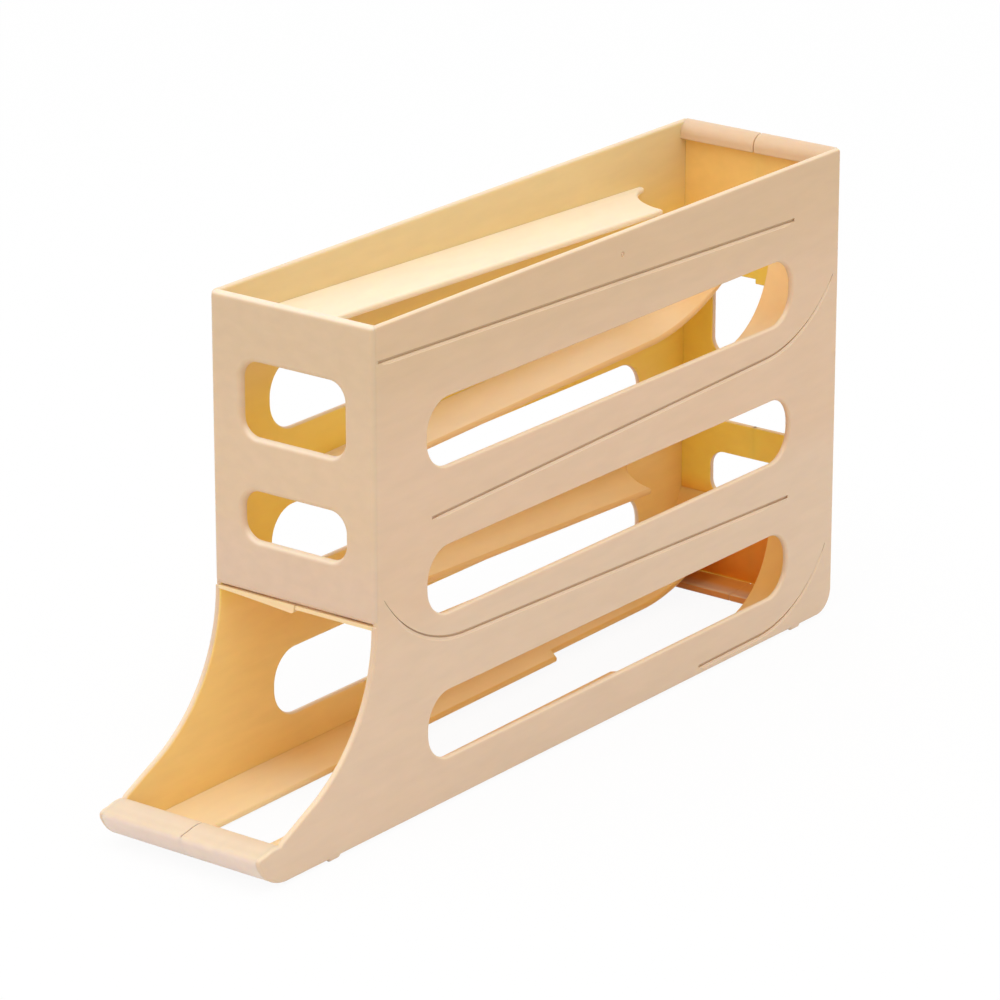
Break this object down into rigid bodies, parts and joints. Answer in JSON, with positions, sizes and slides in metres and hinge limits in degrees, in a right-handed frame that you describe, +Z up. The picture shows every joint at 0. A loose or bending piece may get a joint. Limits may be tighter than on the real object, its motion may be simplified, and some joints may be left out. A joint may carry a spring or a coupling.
{
  "type": "rolling egg dispenser",
  "caption": "Tall narrow egg rack whose sloping tiers let eggs roll from the open top down to a tray at the front.",
  "frame": {"origin": "centre of the footprint at the surface that the rack stands on", "axes": "+Z up, -Y towards the tray end where eggs are taken, +X to the right of someone who looks along +Y"},
  "size_m": [0.07, 0.335, 0.18],
  "materials": {
    "wall_cream": "semi matt moulded, cream beige",
    "panel_cream": "semi matt moulded, cream beige",
    "track_tan": "semi matt moulded, cream, warmer inside the rack",
    "lip_cream": "semi matt moulded, pale cream",
    "rail_cream": "semi matt moulded, pale cream",
    "back_tan": "semi matt moulded, tan, seen through the slots"
  },
  "bodies": {
    "root": {"side_wall_left": "wall_cream", "side_wall_right": "wall_cream", "front_panel": "panel_cream", "track_1_left": "track_tan", "track_1_right": "track_tan", "track_2_left": "track_tan", "track_2_right": "track_tan", "track_3_left": "track_tan", "track_3_right": "track_tan", "track_4_left": "track_tan", "track_4_right": "track_tan", "lip_left": "lip_cream", "lip_right": "lip_cream", "front_rail_left": "rail_cream", "front_rail_right": "rail_cream", "back_rim_left": "rail_cream", "back_rim_right": "rail_cream", "back_plate_left": "back_tan", "back_plate_right": "back_tan", "rear_sill_left": "back_tan", "rear_sill_right": "back_tan"}
  },
  "joints": []
}
